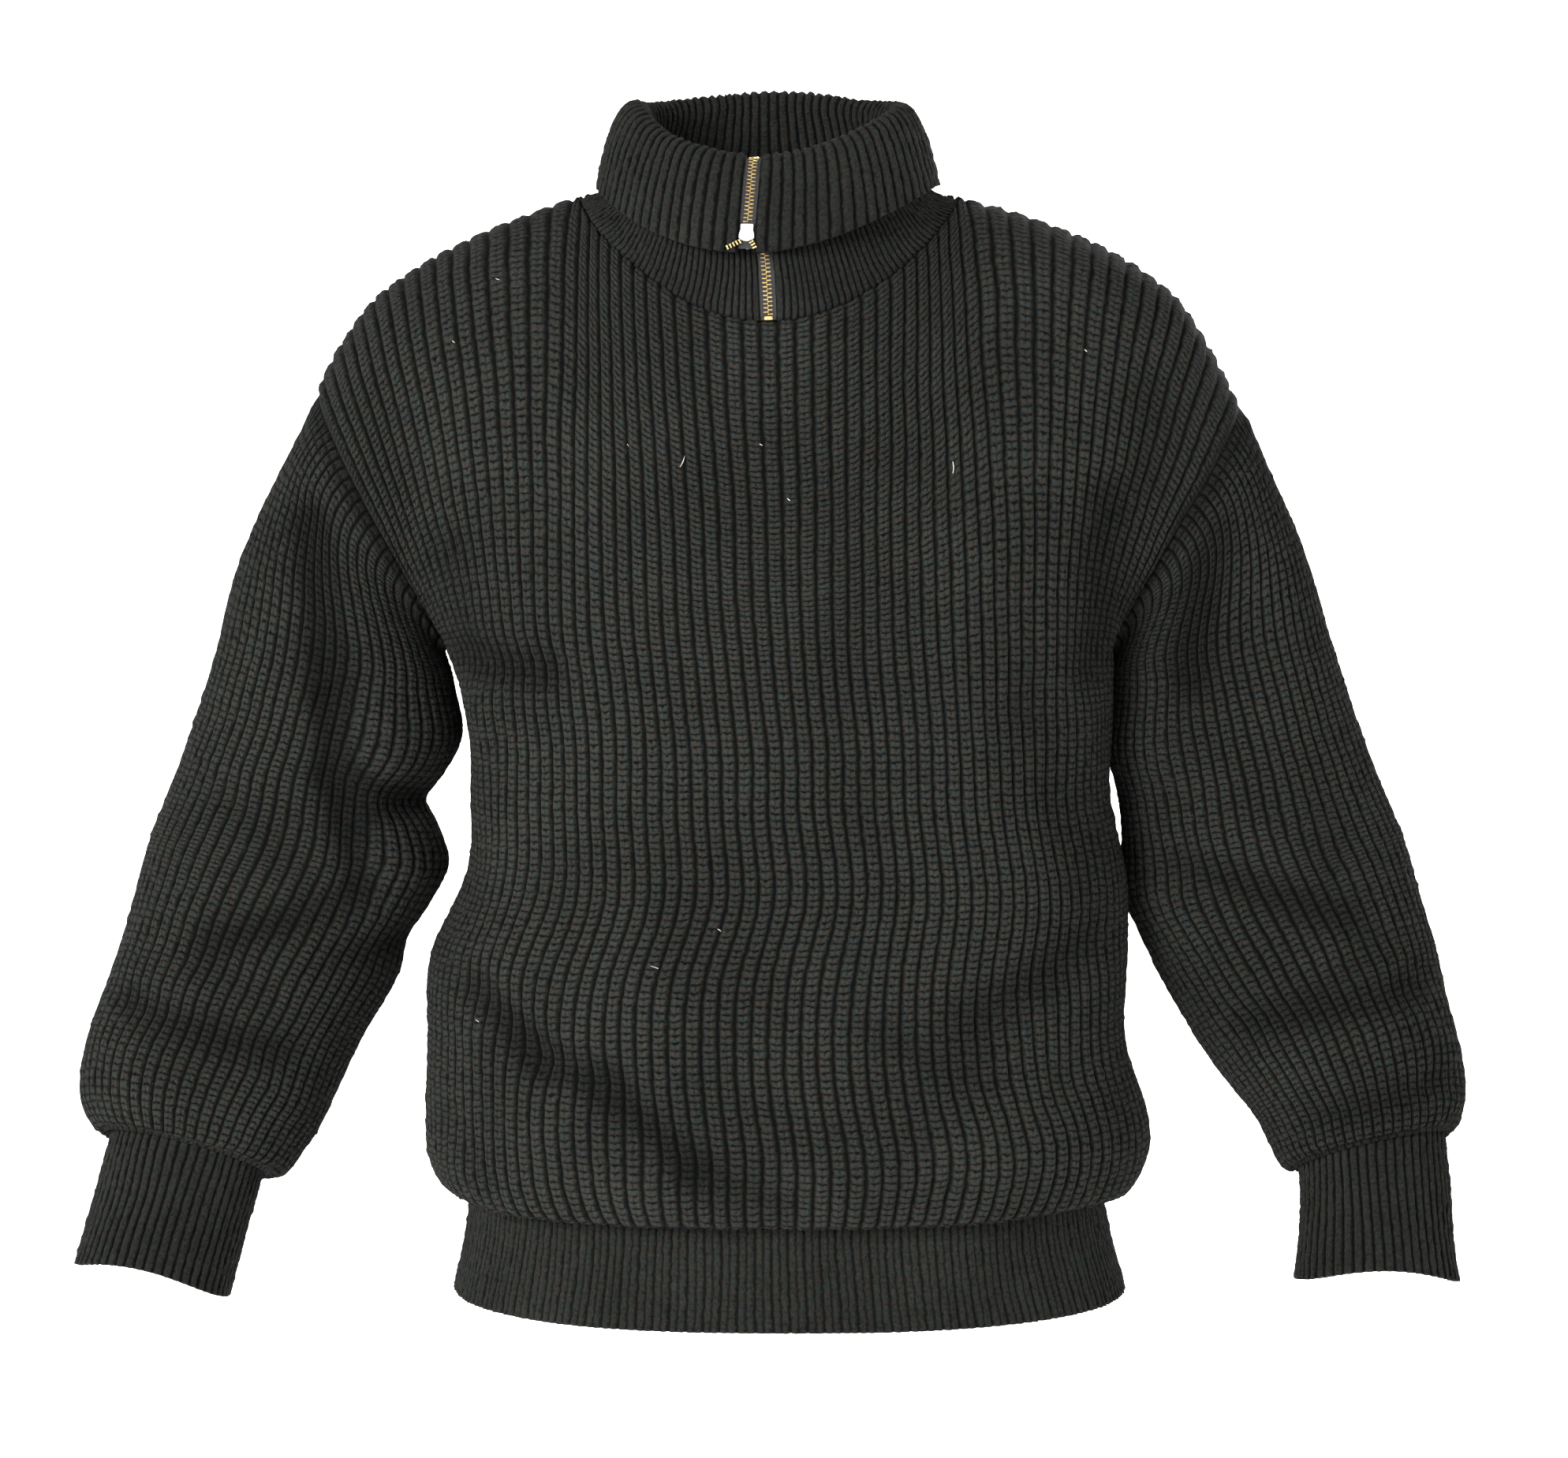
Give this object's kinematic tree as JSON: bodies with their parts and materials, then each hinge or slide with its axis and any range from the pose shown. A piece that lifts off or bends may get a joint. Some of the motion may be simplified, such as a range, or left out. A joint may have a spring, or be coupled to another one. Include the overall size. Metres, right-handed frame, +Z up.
{
  "type": "quarter-zip roll-neck sweater",
  "caption": "Chunky ribbed wool pullover in its worn, hollow form, with a folded zip collar, bloused sleeves, ribbed cuffs and a deep ribbed hem band.",
  "frame": {"origin": "the point between the shoulders, at the height of the neck corners of the shoulder seams, where the wearer carries the garment", "axes": "+Z up, the front faces -Y, +X runs to the wearer's left sleeve"},
  "size_m": [0.836, 0.3189, 0.7355],
  "materials": {
    "knit": "matte charcoal wool, half-cardigan rib",
    "ribbing": "matte charcoal wool, fine rib",
    "zip_teeth": "worn brass",
    "zip_tape": "matte woven tape",
    "zip_slider": "bright nickel"
  },
  "bodies": {
    "sweater": {"front_panel": "knit", "back_panel": "knit", "sleeve_right": "knit", "sleeve_left": "knit", "cuff_right": "ribbing", "cuff_left": "ribbing", "hem_band_front": "ribbing", "hem_band_back": "ribbing", "collar": "ribbing", "zip_chain": "zip_teeth", "zip_open_right": "zip_teeth", "zip_open_left": "zip_teeth", "zip_tape_right": "zip_tape", "zip_tape_left": "zip_tape", "zip_slider": "zip_slider"},
    "pull": {"zip_pull": "zip_slider"}
  },
  "joints": [
    {"name": "pull_hinge", "type": "hinge", "parent": "sweater", "child": "pull", "pos_m": [-0.01203, -0.10382, -0.02451], "axis": [0.992, -0.1228, -0.0303], "range_deg": [-14, 60]}
  ]
}
